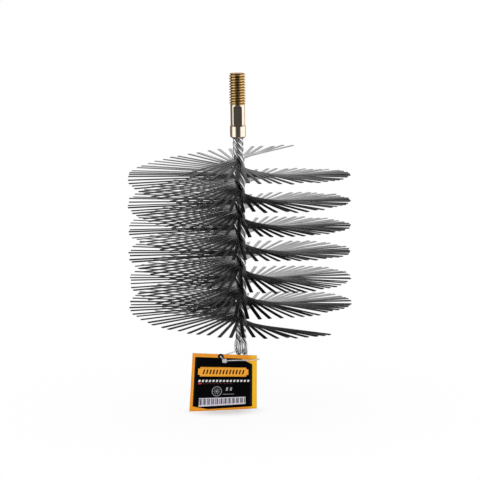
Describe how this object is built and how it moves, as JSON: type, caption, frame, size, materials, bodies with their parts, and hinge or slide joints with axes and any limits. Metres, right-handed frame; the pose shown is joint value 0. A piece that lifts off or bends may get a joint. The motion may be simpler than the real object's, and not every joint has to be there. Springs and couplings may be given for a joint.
{
  "type": "chimney sweep brush",
  "caption": "Round flue brush: flat steel strips set in a twisted wire stem, with a threaded rod stud on top and a card tag tied to its eyes.",
  "frame": {"origin": "centre of the stud's flat end face, where a sweep's rod screws on", "axes": "+Z along the stem, out of the stud towards the rod; -Y is the front, the side the tag hangs on; the brush hangs down along -Z"},
  "size_m": [0.1524, 0.1524, 0.2306],
  "materials": {
    "yellow_zinc": "steel, zinc plated with a golden yellow chromate that shimmers pink and green",
    "bright_wire": "bright galvanised steel wire",
    "dark_spring_steel": "dark tempered spring steel strip, half gloss",
    "orange_card": "thin coated card, orange with a black panel",
    "white_nylon": "translucent white moulded nylon"
  },
  "bodies": {
    "brush": {"rod_stud": "yellow_zinc", "stem_wire_1": "bright_wire", "stem_wire_2": "bright_wire", "bristles_01": "dark_spring_steel", "bristles_02": "dark_spring_steel", "bristles_03": "dark_spring_steel", "bristles_04": "dark_spring_steel", "bristles_05": "dark_spring_steel", "bristles_06": "dark_spring_steel", "bristles_07": "dark_spring_steel", "bristles_08": "dark_spring_steel", "bristles_09": "dark_spring_steel", "bristles_10": "dark_spring_steel", "bristles_11": "dark_spring_steel", "bristles_12": "dark_spring_steel", "bristles_13": "dark_spring_steel", "bristles_14": "dark_spring_steel", "bristles_15": "dark_spring_steel", "bristles_16": "dark_spring_steel", "bristles_17": "dark_spring_steel", "bristles_18": "dark_spring_steel", "bristles_19": "dark_spring_steel", "bristles_20": "dark_spring_steel", "bristles_21": "dark_spring_steel", "bristles_22": "dark_spring_steel", "bristles_23": "dark_spring_steel", "bristles_24": "dark_spring_steel", "bristles_25": "dark_spring_steel", "bristles_26": "dark_spring_steel", "bristles_27": "dark_spring_steel", "bristles_28": "dark_spring_steel", "bristles_29": "dark_spring_steel", "bristles_30": "dark_spring_steel", "bristles_31": "dark_spring_steel", "bristles_32": "dark_spring_steel", "bristles_33": "dark_spring_steel", "bristles_34": "dark_spring_steel", "bristles_35": "dark_spring_steel", "bristles_36": "dark_spring_steel", "bristles_37": "dark_spring_steel", "bristles_38": "dark_spring_steel", "bristles_39": "dark_spring_steel", "bristles_40": "dark_spring_steel", "bristles_41": "dark_spring_steel", "bristles_42": "dark_spring_steel", "bristles_43": "dark_spring_steel", "bristles_44": "dark_spring_steel", "bristles_45": "dark_spring_steel", "bristles_46": "dark_spring_steel", "bristles_47": "dark_spring_steel", "bristles_48": "dark_spring_steel", "bristles_49": "dark_spring_steel", "bristles_50": "dark_spring_steel", "bristles_51": "dark_spring_steel"},
    "tie": {"tag_tie": "white_nylon"},
    "tag": {"card_tag": "orange_card"}
  },
  "joints": [
    {"name": "tie_swing", "type": "hinge", "parent": "brush", "child": "tie", "pos_m": [0, 0, -0.19348], "axis": [0, -1, 0], "range_deg": [0, 90]},
    {"name": "tag_swing", "type": "hinge", "parent": "tie", "child": "tag", "pos_m": [-0.014, -0.00863, -0.19318], "axis": [0, -1, 0], "range_deg": [-85, 6]}
  ]
}
